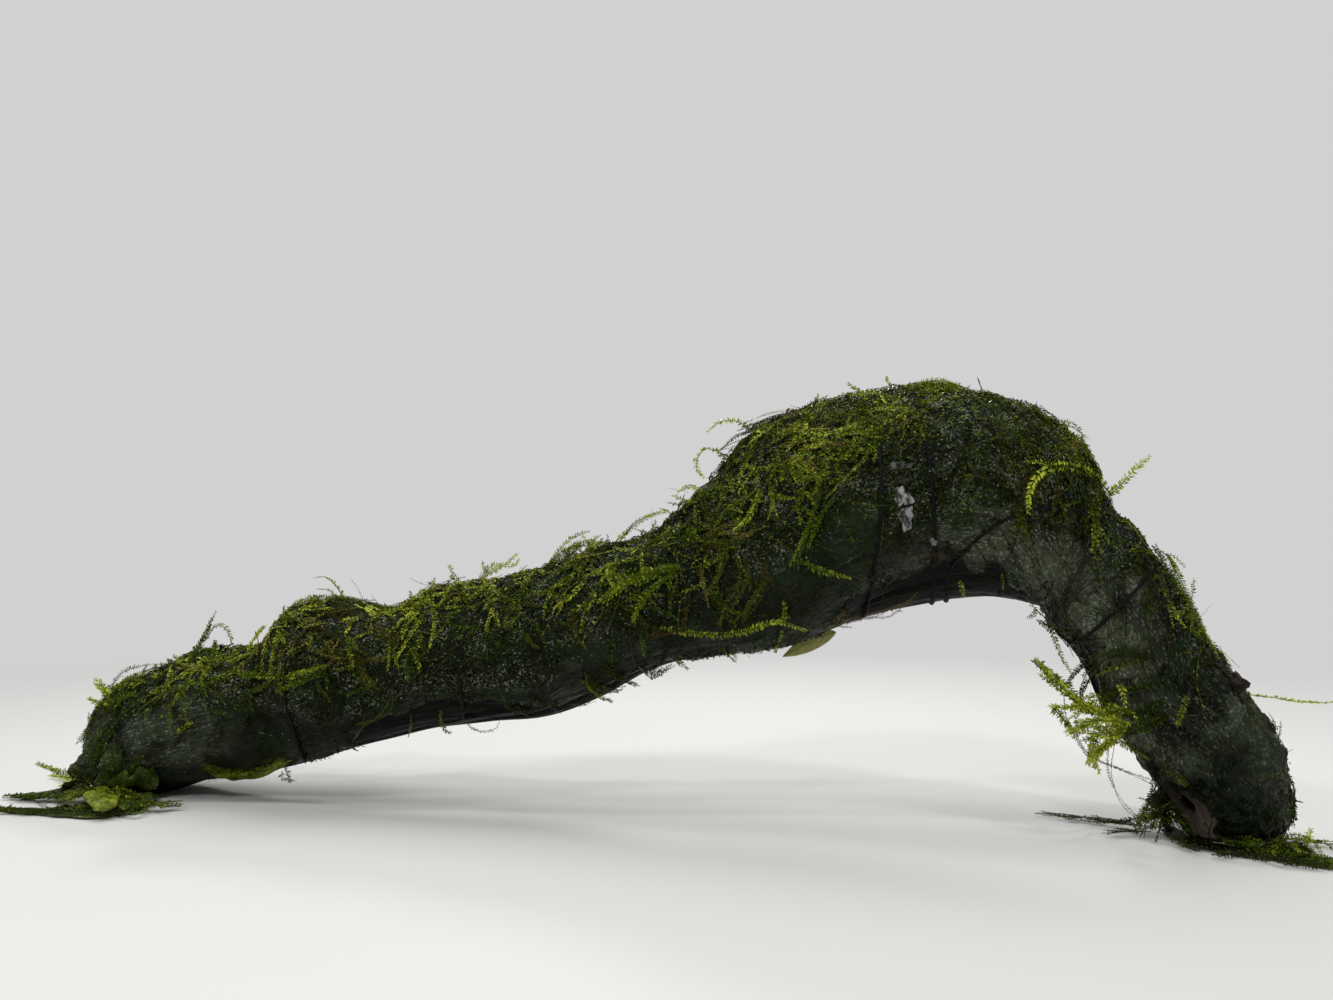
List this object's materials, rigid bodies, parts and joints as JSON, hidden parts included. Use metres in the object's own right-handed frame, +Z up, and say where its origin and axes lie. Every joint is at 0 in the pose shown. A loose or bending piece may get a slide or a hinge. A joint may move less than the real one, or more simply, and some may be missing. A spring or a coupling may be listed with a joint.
{
  "type": "java moss on driftwood",
  "caption": "Arched piece of driftwood with java moss tied over it, for planting in an aquarium; it stands on its low end and its leg.",
  "frame": {"origin": "middle of the whole piece's box, on the surface it stands on", "axes": "+X along the wood from its thin end to its leg, +Z up, -Y the side seen in the picture"},
  "size_m": [0.3294, 0.058, 0.1092],
  "materials": {
    "driftwood": "wet, dark, weathered",
    "moss_mat": "wet, dark green, matted",
    "moss_tuft": "wet, green",
    "moss_pale": "wet, yellow-green",
    "thread": "wet black cotton",
    "leaf": "wilted leaf"
  },
  "bodies": {
    "root": {"driftwood_arm": "driftwood", "driftwood_leg": "driftwood", "moss_mat_arm": "moss_mat", "moss_mat_hump": "moss_mat", "moss_mat_leg": "moss_mat", "moss_tuft_left_foot": "moss_tuft", "moss_tuft_right_foot": "moss_tuft", "moss_trail_right_foot": "moss_tuft", "moss_spray_leg": "moss_pale", "moss_strand_leg": "moss_pale", "binding_thread": "thread", "dead_leaf": "leaf"}
  },
  "joints": []
}
